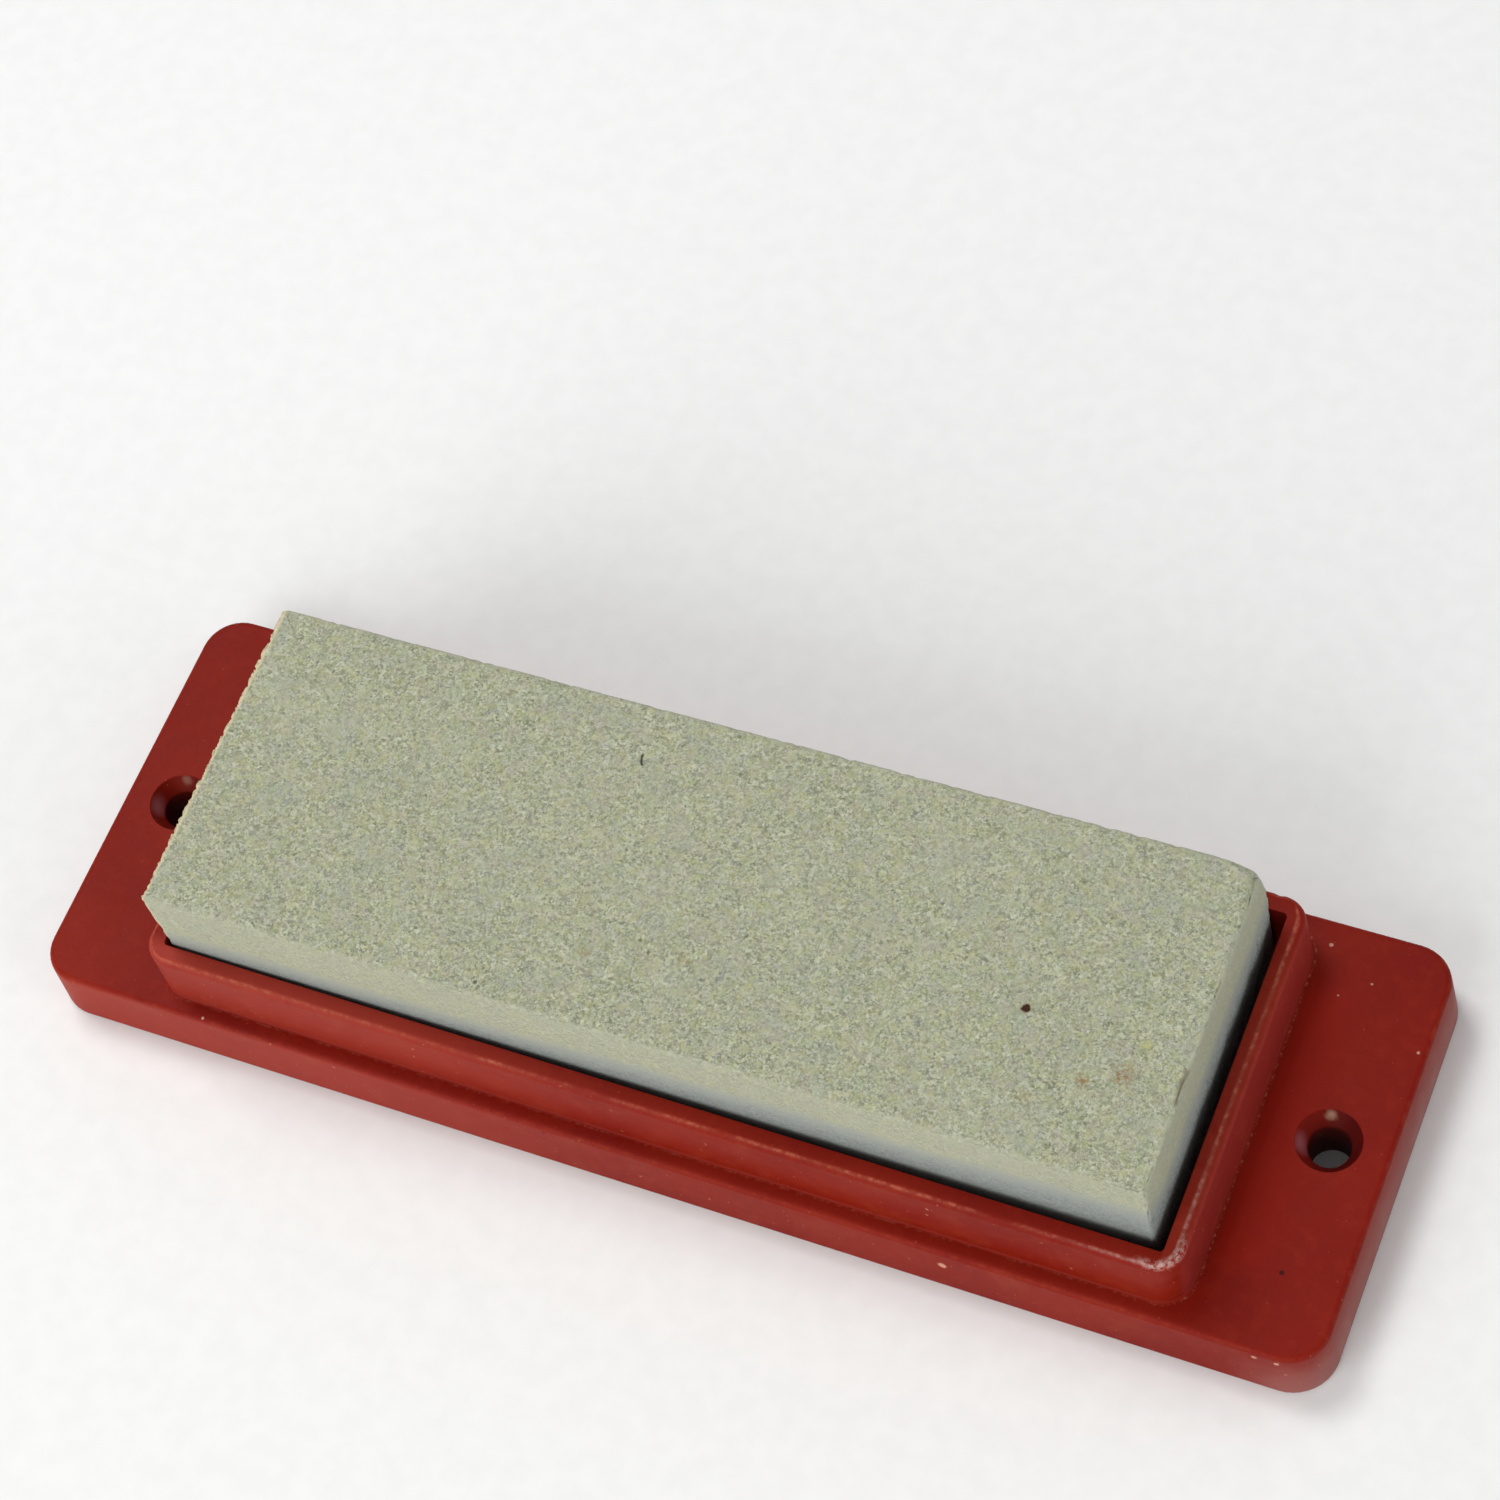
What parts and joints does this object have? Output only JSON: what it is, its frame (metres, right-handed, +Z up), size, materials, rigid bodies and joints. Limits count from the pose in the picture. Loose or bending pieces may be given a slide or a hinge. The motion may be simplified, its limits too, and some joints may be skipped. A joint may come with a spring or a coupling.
{
  "type": "sharpening stone in bench holder",
  "caption": "Rectangular two-layer sharpening stone lying loose in the rimmed pocket of a flanged, screw-down moulded bench holder.",
  "frame": {"origin": "centre of the holder's underside", "axes": "+X along the stone and holder, +Y across them, +Z up out of the pocket towards the working face"},
  "size_m": [0.199, 0.0652, 0.0355],
  "materials": {
    "holder_plastic": "brick-red moulded plastic, soft sheen, pale scuffs along the rim's edges",
    "lower_grit": "blue-grey abrasive, matt, fine grained",
    "upper_grit": "greenish-beige abrasive, matt, sandy and speckled"
  },
  "bodies": {
    "holder": {"bench_holder": "holder_plastic"},
    "stone": {"lower_grit_layer": "lower_grit", "upper_grit_layer": "upper_grit"}
  },
  "joints": [
    {"name": "stone_lift", "type": "slide", "parent": "holder", "child": "stone", "axis": [0, 0, 1], "range_m": [0, 0.03]}
  ]
}
